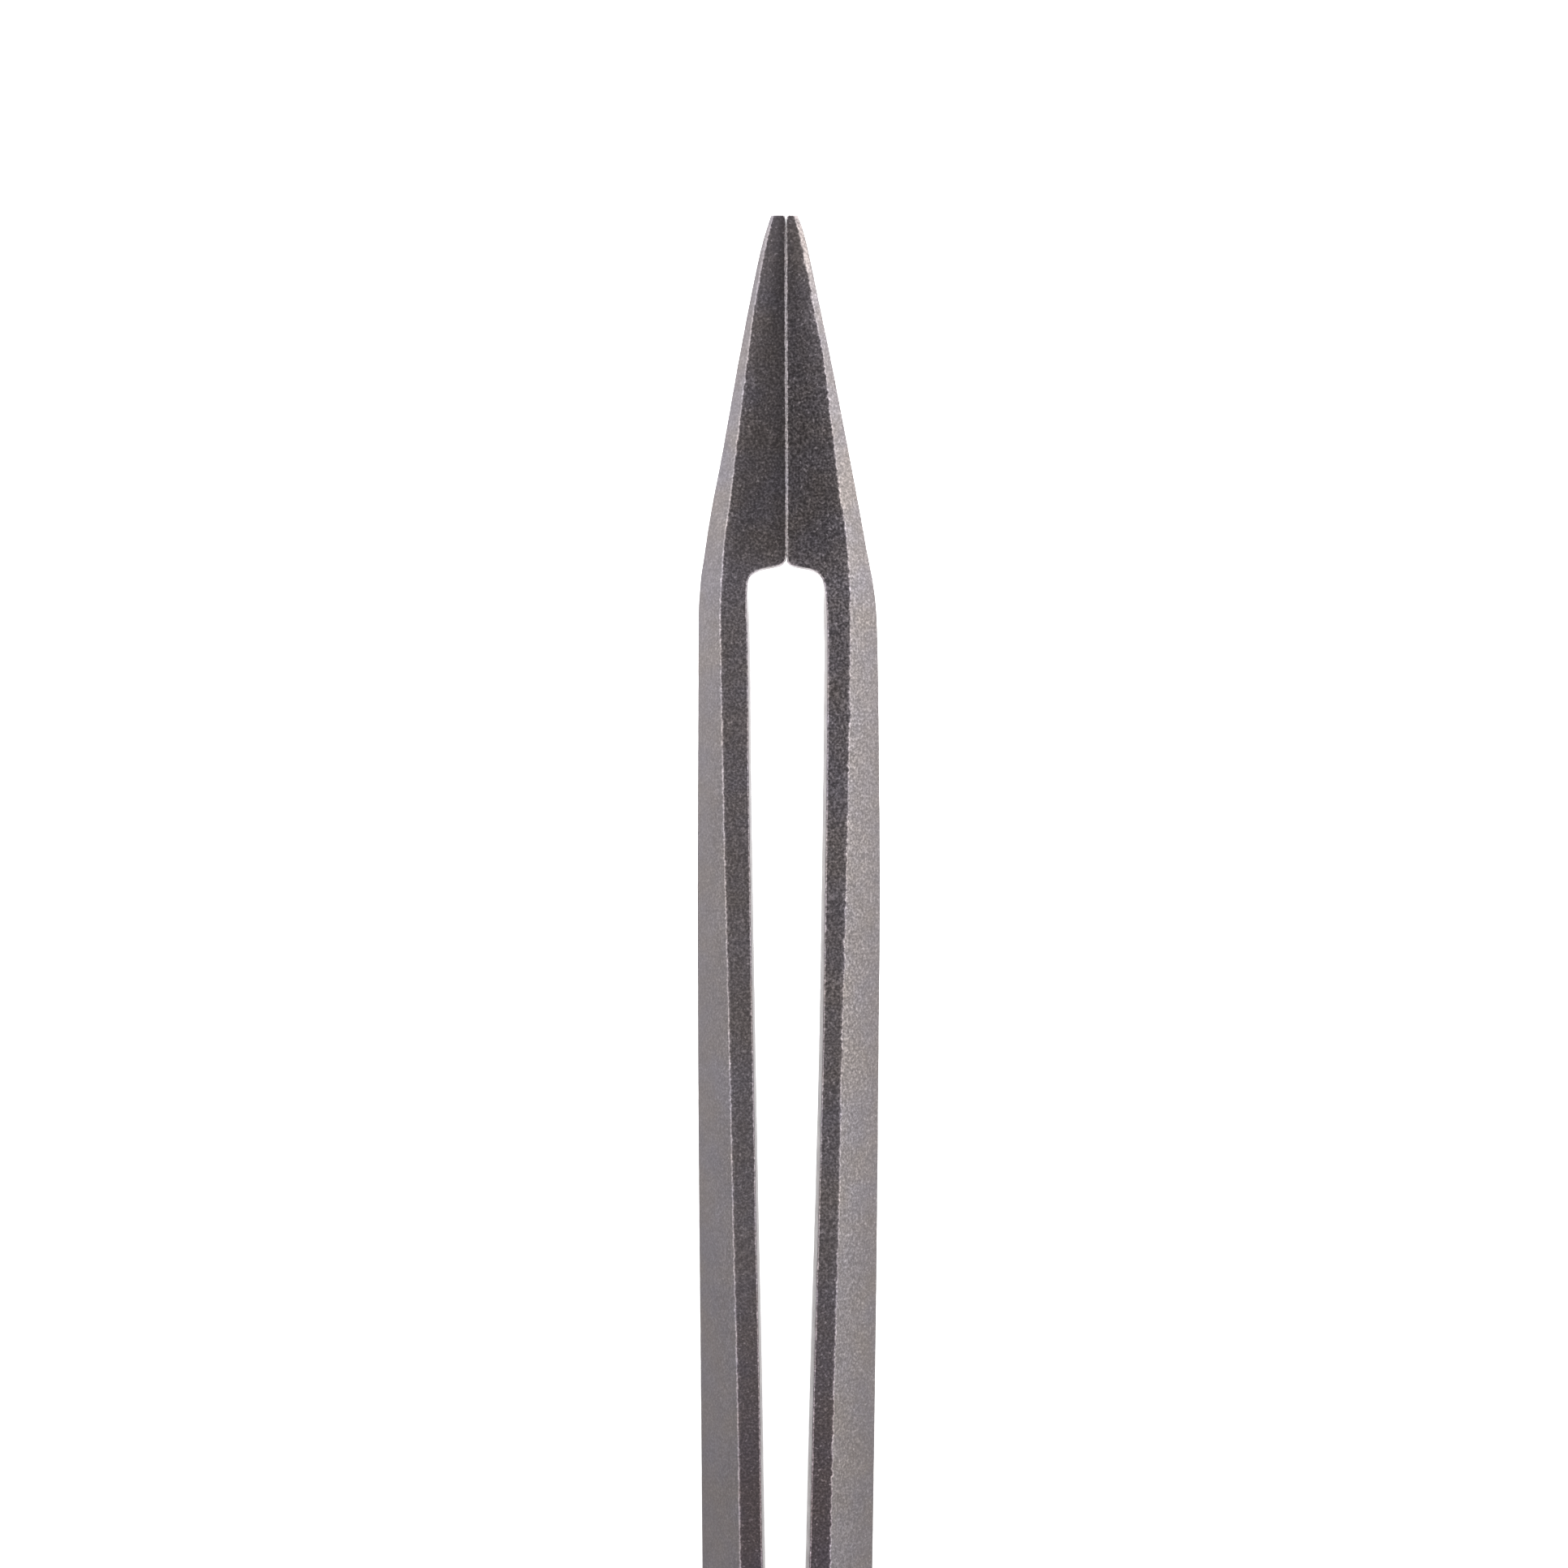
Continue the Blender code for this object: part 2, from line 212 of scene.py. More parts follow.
def wobble(s, seed, *waves):
    """A small repeatable waver along the bar: a sum of (amount, wavelength)."""
    return sum(a * noise.noise(Vector((s / w, seed, 7.3 * a)))
               for a, w in waves)


def span(a, b, n, near=0.03):
    """n + 1 points from a to b, the first and last cells kept short so that a
    flat face shades flat right up to its rounded edge."""
    a, b = Vector(a), Vector(b)
    length = (b - a).length
    k = min(near / max(length, 1e-9), 0.5 / n)
    ts = [0.0, k] + [k + (1 - 2 * k) * i / (n - 2) for i in range(1, n - 2)]
    ts += [1 - k, 1.0]
    return [a.lerp(b, t) for t in ts]


def fillet(before, corner, after, radius, n):
    """Arc points that round a corner, n + 1 of them."""
    a, c, b = Vector(before), Vector(corner), Vector(after)
    u, v = (a - c), (b - c)
    lu, lv = u.length, v.length
    if lu < 1e-9 or lv < 1e-9:
        return [c.copy() for _ in range(n + 1)]
    u, v = u / lu, v / lv
    cosine = max(-0.9999, min(0.9999, u.dot(v)))
    half = math.acos(cosine) / 2                # half of the inner angle
    cutback = min(radius / math.tan(half), 0.46 * lu, 0.46 * lv)
    r = cutback * math.tan(half)
    centre = c + (u + v).normalized() * (r / math.sin(half))
    start, end = c + u * cutback - centre, c + v * cutback - centre
    angle = math.atan2(start.x * end.y - start.y * end.x, start.dot(end))
    out = []
    for i in range(n + 1):
        t = angle * i / n
        out.append(centre + Vector((start.x * math.cos(t) - start.y * math.sin(t),
                                    start.x * math.sin(t) + start.y * math.cos(t))))
    return out


def seam(s):
    """How far to the right of the mid plane the hand-ground jaws meet."""
    return (0.018 + 0.030 * ease(s, 3.0, 12.0)) * (1 - ease(s, 14.6, 15.45))


def section(side, s):
    """The rounded outline of one arm at s, as (distance from mid plane, z)."""
    seed = 3.0 if side == "left" else 11.0
    rough = 1.0 if side == "left" else 1.7
    g, f, w = inner_of[side](s), land_of[side](s), ridge_of[side](s)
    g += seam(s) * (-1.0 if side == "left" else 1.0)
    h = half_depth(s)
    steep = (inner_of[side](s + 0.02) - inner_of[side](s - 0.02)) / 0.04
    r = min(RIDGE_HALF_FLAT, 0.35 * h)
    cut = taper_of(s)
    if cut < w:
        r = max(r, min(h * (w - cut) / (w - f), h - LEAF_EDGE))
        w = cut
        f = min(f, cut - LEAF_EDGE)
    # the ground corner between land and facet is never quite straight
    room = min(1.0, (f - g) / 0.5, (w - f) / 0.15)
    keep = max(0.0, room) * (1 - ease(s, 80.0, 88.0))
    front = rough * keep * wobble(s, seed, (0.014, 0.8), (0.036, 0.20),
                                  (0.024, 0.12))
    back = rough * keep * wobble(s, seed + 5, (0.014, 0.8), (0.036, 0.21),
                                 (0.024, 0.13))
    land_round = min(0.15 if side == "left" else 0.12, 0.25 * (f - g), 0.4 * h)
    land_round *= 1.0 + 0.35 * wobble(s, seed + 9, (1.0, 0.35))
    # inner edge: a stoned bevel, narrower along the slot
    behind = ease(s, 15.0, 15.8)
    ex = 0.056 + 0.002 * behind
    e = 0.038 + 0.006 * behind
    uneven = 1.0 + 0.35 * wobble(s, seed + 2, (1.0, 0.30), (0.6, 0.14))
    ex = min(ex * uneven, 0.22 * (f - g))
    e = min(e * uneven, 0.22 * (f - g), 0.3 * h)
    ex = min(ex * math.sqrt(1 + steep * steep), 0.3 * (f - g))
    crown = CROWN[side] * ease(s, 15.4, 17.5) * (1 - ease(s, 74.0, LEAF_FROM))

    # corners of the outline, front inner edge first
    c_front, c_back = (f, h), (f, -h)
    c_r1, c_r2 = (w, r), (w, -r)
    top_in, bottom_in = (g + ex, h), (g + ex, -h)
    f1 = fillet(top_in, c_front, c_r1, land_round, 6)
    blunt = 0.30 if cut >= ridge_of[side](s) else 0.12
    r1 = fillet(f1[-1], c_r1, c_r2, blunt, 4)
    f2 = fillet(c_r2, c_back, bottom_in, land_round, 4)
    r2 = fillet(c_r1, c_r2, f2[0], blunt, 4)
    pts = []
    pts += span(top_in, f1[0], 9)[:-1]
    pts += f1[:-1]
    pts += span(f1[-1], r1[0], 9)[:-1]
    pts += r1[:-1]
    pts += span(r1[-1], r2[0], 5)[:-1]
    pts += r2[:-1]
    pts += span(r2[-1], f2[0], 6)[:-1]
    pts += f2[:-1]
    pts += span(f2[-1], bottom_in, 6)[:-1]
    for i in range(5):                            # back inner edge
        pts.append(Vector((g + ex * (1 - i / 5), -h + e * i / 5)))
    wall = 14
    for i in range(wall):                         # crowned inner wall
        t = i / wall
        z = -(h - e) + 2 * (h - e) * (0.5 - 0.5 * math.cos(math.pi * t))
        bulge = crown * (1 - (z / (h - e)) ** 2)
        pts.append(Vector((g - bulge, z)))
    for i in range(5):                            # front inner edge
        pts.append(Vector((g + ex * i / 5, h - e * (1 - i / 5))))
    # the waver moves the corner only, and dies out on the flats beside it
    for z, shift in ((h, front), (-h, back)):
        for p in pts:
            flat = f - g if p.x < f else math.hypot(w - f, h - r)
            d = math.hypot(p.x - f, p.y - z) / min(WAVER_REACH, 0.8 * flat)
            if d < 1.0:
                p.x += shift * (1 - d) ** 2
    return pts


def stations():
    """Ring positions, close together where the shape turns quickly."""
    out = []

    def run(a, b, step):
        n = max(1, round((b - a) / step))
        out.extend(a + (b - a) * i / n for i in range(n))

    run(0.07, 0.5, 0.06)
    run(0.5, 14.6, 0.06)
    run(14.6, 16.6, 0.03)
    run(16.6, 60.0, 0.06)
    run(60.0, 96.0, 0.25)
    run(96.0, LENGTH - HEEL_CORNER, 0.5)
    for a in range(0, 76, 5):
        out.append(LENGTH - HEEL_CORNER * (1 - math.sin(math.radians(a))))
    return out


def shrink(ring, d):
    """A ring drawn in by d on every side, for a rounded end."""
    lo_x, hi_x = min(p.x for p in ring), max(p.x for p in ring)
    lo_z, hi_z = min(p.y for p in ring), max(p.y for p in ring)
    cx, cz = (lo_x + hi_x) / 2, (lo_z + hi_z) / 2
    kx = 1 - 2 * d / (hi_x - lo_x)
    kz = 1 - 2 * d / (hi_z - lo_z)
    return [Vector((cx + (p.x - cx) * kx, cz + (p.y - cz) * kz)) for p in ring]


def arm_mesh(side):
    sign = -1.0 if side == "left" else 1.0
    rings = []
    round_tip = 0.07
    first = section(side, round_tip)
    for deg in (12, 35, 58, 78):                 # rounded tip end
        a = math.radians(deg)
        rings.append((round_tip * (1 - math.sin(a)),
                      shrink(first, round_tip * (1 - math.cos(a)))))
    rings.reverse()
    rings = [(s, r) for s, r in sorted(rings, key=lambda x: x[0])]
    for s in stations():
        rings.append((s, section(side, s)))
    round_heel = 0.09
    last_s = LENGTH - round_heel
    last = section(side, LENGTH - HEEL_CORNER * (1 - math.sin(math.radians(75))))
    for deg in (0, 25, 50, 75):                  # rounded heel end
        a = math.radians(deg)
        s = last_s + round_heel * math.sin(a)
        if s > rings[-1][0] + 0.004:
            past = min(s, LENGTH - 0.001) - (LENGTH - HEEL_CORNER)
            here = section(side, LENGTH - HEEL_CORNER + min(past, HEEL_CORNER * 0.9985))
            rings.append((s, shrink(here, round_heel * (1 - math.cos(a)))))
    bm = bmesh.new()
    grid = []
    seed = 0.0 if side == "left" else 50.0
    for s, ring in rings:
        row = []
        for p in ring:
            x, y, z = sign * p.x, TIP_Y / MM - s, p.y
            # the blasted, hand-ground faces are very slightly uneven
            q = Vector((x, y + seed, z))
            lift = 0.006 * noise.noise(q / 0.9) + 0.004 * noise.noise(q / 0.33)
            if abs(p.x) > 0.2:
                x += sign * lift * (1 if abs(p.y) < HALF_DEPTH - 0.05 else 0.3)
            z = max(-HALF_DEPTH, min(HALF_DEPTH, z - abs(lift) * (1 if z > 0 else -1)))
            row.append(bm.verts.new((x * MM, y * MM, MID_Z + z * MM)))
        grid.append(row)
    n = len(grid[0])
    for a, b in zip(grid, grid[1:]):
        for i in range(n):
            j = (i + 1) % n
            bm.faces.new((a[i], a[j], b[j], b[i]))
    for ring in (grid[0], grid[-1]):
        c = sum((v.co for v in ring), Vector()) / n
        centre = bm.verts.new(c)
        for i in range(n):
            bm.faces.new((ring[i], ring[(i + 1) % n], centre))
    bmesh.ops.recalc_face_normals(bm, faces=bm.faces)
    for f in bm.faces:
        f.smooth = True
    mesh = bpy.data.meshes.new(side + "_arm_bar")
    bm.to_mesh(mesh)
    bm.free()
    return mesh


def add(name, mesh):
    obj = bpy.data.objects.new(name, mesh)
    bpy.context.scene.collection.objects.link(obj)
    return obj


def bake_modifiers(obj):
    """Leaves obj with its evaluated mesh and no modifiers."""
    bpy.context.view_layer.update()
    graph = bpy.context.evaluated_depsgraph_get()
    mesh = bpy.data.meshes.new_from_object(obj.evaluated_get(graph))
    obj.modifiers.clear()
    obj.data = mesh


def drill(obj, radius):
    """Cuts the two rivet holes through obj."""
    cutters = []
    for s in RIVET_AT:
        bpy.ops.mesh.primitive_cylinder_add(
            vertices=64, radius=radius * MM, depth=8 * MM,
            location=(0.0, TIP_Y - s * MM, MID_Z),
            rotation=(0.0, math.radians(90), 0.0))
        cutter = bpy.context.object
        cut = obj.modifiers.new("hole", "BOOLEAN")
        cut.operation, cut.solver, cut.object = "DIFFERENCE", "EXACT", cutter
        cutters.append(cutter)
    bake_modifiers(obj)
    for c in cutters:
        bpy.data.objects.remove(c, do_unlink=True)
    obj.data.set_sharp_from_angle(angle=math.radians(75))   # the holes' rims


# ------------------------------------------------------------------ materials
def node(tree, kind, **inputs):
    n = tree.nodes.new(kind)
    for k, v in inputs.items():
        n.inputs[k.replace("_", " ")].default_value = v
    return n


def math_node(tree, operation, a, b=None, c=None):
    n = tree.nodes.new("ShaderNodeMath")
    n.operation = operation
    for i, v in enumerate((a, b, c)):
        if v is None:
            continue
        if isinstance(v, (int, float)):
            n.inputs[i].default_value = v
        else:
            tree.links.new(v, n.inputs[i])
    return n.outputs[0]


def remap(tree, value, from_min, from_max, to_min, to_max, smooth=False):
    n = tree.nodes.new("ShaderNodeMapRange")
    if smooth:
        n.interpolation_type = "SMOOTHSTEP"
    for k, v in (("From Min", from_min), ("From Max", from_max),
                 ("To Min", to_min), ("To Max", to_max)):
        n.inputs[k].default_value = v
    tree.links.new(value, n.inputs["Value"])
    return n.outputs[0]


def mixed(tree, factor, a, b):
    """a where factor is 0, b where it is 1."""
    step = math_node(tree, "SUBTRACT", b, a)
    return math_node(tree, "MULTIPLY_ADD", step, factor, a)


def blasted_steel(name, tint, outward, rough, depth, mottle, grain, specks,
                  edge_wear_and_highlight, glance=(0.78, 0.78, 0.78), wall_painted_light=0.0,
                  seam_painted_shade=0.0, facet_painted_gradient=(0.0, 0.0)):
    """Bead-blasted stainless steel with faces ground to different finishes.

    tint: mean colour. outward: sign of X on the outer facets. rough, depth,
    mottle and specks each give (land, facet, inner wall): roughness, height of
    the dimples in micrometres, how far a random mottle varies the colour as
    painted shade in the dimple floors, and how bright the painted glints on the
    rims are. grain: dimples per metre. edge_wear_and_highlight: how much brighter
    the (outer, inner) corners of the lands are painted, partly rubbed wear and
    partly a painted highlight. glance: how much of the light a face keeps when
    it is seen nearly edge-on. wall_painted_light: how much painted light makes
    the inner wall lighter than the other faces. seam_painted_shade: how much
    painted shade darkens the land beside the seam of the jaws.
    facet_painted_gradient: how much more of that light a facet keeps (beside the
    land, beside the ridge), a painted gradient of light across the facet.
    """
    mat = bpy.data.materials.new(name)
    mat.use_nodes = True
    t = mat.node_tree
    link = t.links.new
    shader = t.nodes["Principled BSDF"]
    shader.inputs["Metallic"].default_value = 1.0
    coord = t.nodes.new("ShaderNodeTexCoord")
    # the facets were ground crosswise before blasting, so their marks are
    # drawn out across them
    stretch = node(t, "ShaderNodeVectorMath")
    stretch.operation = "MULTIPLY"
    stretch.inputs[1].default_value = (1.0, 1.0, 0.42)
    link(coord.outputs["Object"], stretch.inputs[0])
    place = stretch.outputs["Vector"]
    spot = t.nodes.new("ShaderNodeSeparateXYZ")
    link(coord.outputs["Object"], spot.inputs["Vector"])
    ahead = spot.outputs["Y"]

    # which face of the bar this is, from the way the face points
    facing = t.nodes.new("ShaderNodeSeparateXYZ")
    link(coord.outputs["Normal"], facing.inputs["Vector"])
    out_x = math_node(t, "MULTIPLY", facing.outputs["X"], outward)
    facet = remap(t, out_x, 0.35, 0.75, 0.0, 1.0, smooth=True)
    wall = remap(t, out_x, -0.55, -0.90, 0.0, 1.0, smooth=True)

    def by_face(values):
        return mixed(t, wall, mixed(t, facet, values[0], values[1]), values[2])

    def texture(scale, detail, roughness=0.5, w=0.0):
        n = node(t, "ShaderNodeTexNoise", Scale=scale, Detail=detail,
                 Roughness=roughness)
        n.noise_dimensions = "4D"
        n.inputs["W"].default_value = w
        link(place, n.inputs["Vector"])
        return n

    # dimples: overlapping bead marks, a finer grit and a slow unevenness
    craters = node(t, "ShaderNodeTexVoronoi", Scale=grain * 0.8, Randomness=1.0)
    craters.feature = "SMOOTH_F1"
    craters.inputs["Smoothness"].default_value = 0.35
    link(place, craters.inputs["Vector"])
    grit = texture(grain, 1.5, 0.5, 1.3)
    swell = texture(grain * 0.22, 1.0, 0.5, 4.1)
    height = math_node(t, "MULTIPLY_ADD", craters.outputs["Distance"], 0.35,
                       grit.outputs["Fac"])
    height = math_node(t, "MULTIPLY_ADD", swell.outputs["Fac"], 0.6, height)
    bump = node(t, "ShaderNodeBump", Strength=1.0, Distance=1.0e-6)
    link(math_node(t, "MULTIPLY", height, by_face(depth)), bump.inputs["Height"])
    link(bump.outputs["Normal"], shader.inputs["Normal"])

    # colour: a random mottle paints shade into the dimple floors and lighter rims, with
    # a slow drift
    cell = texture(grain * 0.9, 1.0, 0.5, 7.7)
    drift = texture(300.0, 3.0, 0.6, 2.2)
    rub = texture(1300.0, 4.0, 0.65, 9.4)
    fleck = remap(t, cell.outputs["Fac"], 0.26, 0.74, -1.0, 1.0)
    fleck = math_node(t, "MULTIPLY_ADD", math_node(t, "MULTIPLY", fleck, fleck),
                      0.45, math_node(t, "SUBTRACT", fleck, 0.06))
    coarser = remap(t, ahead, -0.003, 0.036, 0.68, 1.15)
    amount = math_node(t, "MULTIPLY", by_face(mottle), coarser)
    # smoother toward the ridge between the facets, and at the very tips
    off_ridge = math_node(t, "ABSOLUTE",
                          math_node(t, "SUBTRACT", spot.outputs["Z"], MID_Z))
    calmer = remap(t, off_ridge, 0.0003, 0.0030, -0.45, 0.15)
    amount = math_node(t, "MULTIPLY", amount,
                       math_node(t, "MULTIPLY_ADD", calmer, facet, 1.0))
    amount = math_node(t, "MULTIPLY", amount,
                       remap(t, ahead, 0.0545, 0.0480, 0.55, 1.0))
    tone = math_node(t, "MULTIPLY_ADD", fleck, amount, 1.0)
    # painted light: the lands behind the shoulder are painted lighter, and the jaw's
    # lands darker, as light and shade fall on them
    arm_land_painted_light = math_node(t, "MULTIPLY",
                       remap(t, ahead, 0.0415, 0.0385, 0.0, 0.40, smooth=True),
                       remap(t, ahead, -0.003, 0.012, 0.03, 1.0, smooth=True))
    arm_land_painted_light = math_node(t, "MULTIPLY", arm_land_painted_light,
                       math_node(t, "SUBTRACT", 1.0, facet))
    tone = math_node(t, "MULTIPLY", tone, math_node(t, "ADD", 1.0, arm_land_painted_light))
    tone = math_node(t, "MULTIPLY", tone,
                     remap(t, drift.outputs["Fac"], 0.3, 0.7, 0.95, 1.05))
    # painted glints: bright specks standing in for light caught on the dimples' rims
    spark = texture(grain * 0.75, 0.5, 0.5, 5.9)
    spark = remap(t, spark.outputs["Fac"], 0.64, 0.76, 0.0, 1.0)
    tone = math_node(t, "MULTIPLY_ADD", spark, by_face(specks), tone)
    # painted highlight: the lands are painted a little brighter toward their outer
    # corners, over a wider band along the jaws; painted shade makes them duller toward
    # the seam
    not_facet = math_node(t, "SUBTRACT", 1.0, facet)
    across = math_node(t, "ABSOLUTE", spot.outputs["X"])
    behind_tips = math_node(t, "SUBTRACT", TIP_Y, ahead)
    near_tips = math_node(t, "MINIMUM", behind_tips, 0.024)
    land_edge = math_node(t, "MULTIPLY_ADD", near_tips, -4.3, 0.213)
    land_edge = math_node(t, "MULTIPLY_ADD", land_edge, near_tips, 0.0005)
    land_edge = math_node(
        t, "MINIMUM", land_edge,
        math_node(t, "MULTIPLY_ADD", behind_tips, -0.0216, 0.003228))
    band = remap(t, ahead, 0.0385, 0.0405, 0.00020, 0.00092)
    edge_highlight_strength = remap(t, ahead, 0.0385, 0.0520, 0.26, 0.68)
    lift = math_node(t, "DIVIDE",
                     math_node(t, "SUBTRACT", land_edge, across), band)
    lift = math_node(t, "MULTIPLY", edge_highlight_strength,
                     remap(t, lift, 1.0, 0.0, 0.0, 1.0, smooth=True))
    tone = math_node(t, "MULTIPLY", tone,
                     math_node(t, "MULTIPLY_ADD", lift, not_facet, 1.0))
    # painted shade: the jaw's lands are darkened a little, most beside the seam
    jaw = math_node(t, "MULTIPLY", not_facet,
                    remap(t, ahead, 0.0385, 0.0405, 0.0, 1.0, smooth=True))
    jaw_painted_shade = math_node(t, "ADD", 0.08,
                     remap(t, across, 0.0009, 0.0, 0.0, seam_painted_shade, smooth=True))
    tone = math_node(t, "MULTIPLY", tone, math_node(
        t, "SUBTRACT", 1.0, math_node(t, "MULTIPLY", jaw, jaw_painted_shade)))
    # corners painted brighter, partly rubbed wear and partly a painted highlight:
    # outer one, then inner one
    outer = math_node(t, "MULTIPLY",
                      remap(t, out_x, 0.10, 0.40, 0.0, 1.0, smooth=True),
                      remap(t, out_x, 0.72, 0.90, 1.0, 0.0, smooth=True))
    inner = math_node(t, "MULTIPLY",
                      remap(t, out_x, -0.10, -0.40, 0.0, 1.0, smooth=True),
                      remap(t, out_x, -0.90, -0.985, 1.0, 0.0, smooth=True))
    patchy = remap(t, cell.outputs["Fac"], 0.35, 0.65, 0.55, 1.45)
    outer = math_node(t, "MULTIPLY", outer, patchy)
    tone = math_node(t, "MULTIPLY_ADD", outer, edge_wear_and_highlight[0], tone)
    inner = math_node(t, "MULTIPLY", inner,
                      remap(t, cell.outputs["Fac"], 0.35, 0.65, 0.40, 1.60))
    inner = math_node(t, "MULTIPLY", inner,
                      remap(t, ahead, 0.0548, 0.0530, 0.45, 1.0))
    # the jaws' own edges were stoned, and carry the brightest painted highlight
    inner = math_node(t, "MULTIPLY", inner,
                      remap(t, ahead, 0.0388, 0.0402, 0.36, 1.0, smooth=True))
    tone = math_node(t, "MULTIPLY_ADD", inner, edge_wear_and_highlight[1], tone)
    # faint blue and straw patches left by cleaning
    hue = texture(520.0, 2.0, 0.5, 3.3)
    colour = t.nodes.new("ShaderNodeMix")
    colour.data_type = "RGBA"
    a = [i for i in colour.inputs if i.name == "A" and i.type == "RGBA"][0]
    b = [i for i in colour.inputs if i.name == "B" and i.type == "RGBA"][0]
    a.default_value = (tint[0] * 1.025, tint[1] * 1.0, tint[2] * 0.955, 1.0)
    b.default_value = (tint[0] * 0.975, tint[1] * 0.99, tint[2] * 1.055, 1.0)
    link(remap(t, hue.outputs["Fac"], 0.35, 0.65, 0.0, 1.0),
         colour.inputs["Factor"])
    mixed_out = [o for o in colour.outputs if o.type == "RGBA"][0]
    # painted light: the slot walls and jaw faces are given a lighter colour, against
    # the shade in the slot
    tone = math_node(t, "MULTIPLY", tone,
                     math_node(t, "MULTIPLY_ADD", wall, wall_painted_light, 1.0))
    # and a warmer cast on the lands toward the heel
    cast = t.nodes.new("ShaderNodeCombineColor")
    warmer = math_node(t, "MULTIPLY",
                       remap(t, ahead, 0.012, -0.002, 0.0, 1.0, smooth=True),
                       math_node(t, "SUBTRACT", 1.0, facet))
    for channel, share in zip(cast.inputs, (0.005, -0.062, -0.030)):
        link(math_node(t, "MULTIPLY_ADD", warmer, share, 1.0), channel)
    toned = node(t, "ShaderNodeVectorMath")
    toned.operation = "MULTIPLY"
    link(mixed_out, toned.inputs[0])
    link(cast.outputs["Color"], toned.inputs[1])
    shade = node(t, "ShaderNodeVectorMath")
    shade.operation = "SCALE"
    link(toned.outputs["Vector"], shade.inputs[0])
    link(tone, shade.inputs["Scale"])
    link(shade.outputs["Vector"], shader.inputs["Base Color"])

    spread = remap(t, rub.outputs["Fac"], 0.25, 0.75, -0.05, 0.05)
    link(math_node(t, "ADD", by_face(rough), spread), shader.inputs["Roughness"])
    edge_on = t.nodes.new("ShaderNodeCombineColor")
    glossier = remap(t, ahead, -0.0015, 0.0160, 0.62, 0.0)
    glossier = math_node(t, "MULTIPLY_ADD", glossier, wall, 1.0)
    seen_flat = math_node(t, "MULTIPLY", by_face(glance), glossier)
    # painted light: along the arms, a painted gradient of light runs across each facet,
    # from beside the land to beside the ridge
    facet_painted_light = remap(t, math_node(t, "SUBTRACT", across, land_edge),
                   0.0, 0.0013, facet_painted_gradient[0], facet_painted_gradient[1])
    facet_painted_light = math_node(t, "MULTIPLY", facet_painted_light,
                       remap(t, behind_tips, 0.060, 0.080, 1.0, 0.0))
    facet_painted_light = math_node(t, "MULTIPLY", facet_painted_light,
                       remap(t, behind_tips, 0.012, 0.018, 0.5, 1.0))
    seen_flat = math_node(t, "MULTIPLY", seen_flat,
                          math_node(t, "MULTIPLY_ADD", facet_painted_light, facet, 1.0))
    for channel, share in zip(edge_on.inputs, (1.04, 1.0, 1.0)):
        link(math_node(t, "MULTIPLY", seen_flat, share), channel)
    link(edge_on.outputs["Color"], shader.inputs["Specular Tint"])
    return mat


# the two arms differ in finish, and also in painted light: more painted shade beside
# the seam on the left, a painted gradient of light across the facets on the right
steel_left = blasted_steel(
    "blasted_steel_left", (0.131, 0.122, 0.126), -1.0,
    rough=(0.44, 0.42, 0.22), depth=(20.0, 12.0, 2.0),
    mottle=(0.62, 0.40, 0.05), specks=(1.4, 0.25, 0.0),
    grain=11200.0, edge_wear_and_highlight=(0.7, 2.3), glance=(0.78, 0.78, 0.41), wall_painted_light=1.0,
    seam_painted_shade=0.22, facet_painted_gradient=(-0.04, 0.01))
steel_right = blasted_steel(
    "blasted_steel_right", (0.131, 0.122, 0.126), 1.0,
    rough=(0.44, 0.40, 0.24), depth=(24.0, 26.0, 3.0),
    mottle=(0.78, 0.68, 0.08), specks=(1.9, 0.6, 0.0),
    grain=10600.0, edge_wear_and_highlight=(0.9, 2.3), glance=(0.78, 0.78, 0.41), wall_painted_light=1.0,
    seam_painted_shade=0.03, facet_painted_gradient=(0.14, -0.10))
steel_spacer = blasted_steel(
    "spacer_steel", (0.125, 0.118, 0.121), 1.0,
    rough=(0.42, 0.42, 0.42), depth=(12.0, 12.0, 12.0),
    mottle=(0.16, 0.16, 0.16), specks=(0.2, 0.1, 0.1),
    grain=9000.0, edge_wear_and_highlight=(0.2, 0.2))
steel_rivet = blasted_steel(
    "rivet_steel", (0.21, 0.198, 0.202), 1.0,
    rough=(0.34, 0.34, 0.34), depth=(6.0, 6.0, 6.0),
    mottle=(0.10, 0.10, 0.10), specks=(0.1, 0.1, 0.1),
    grain=7000.0, edge_wear_and_highlight=(0.0, 0.0))


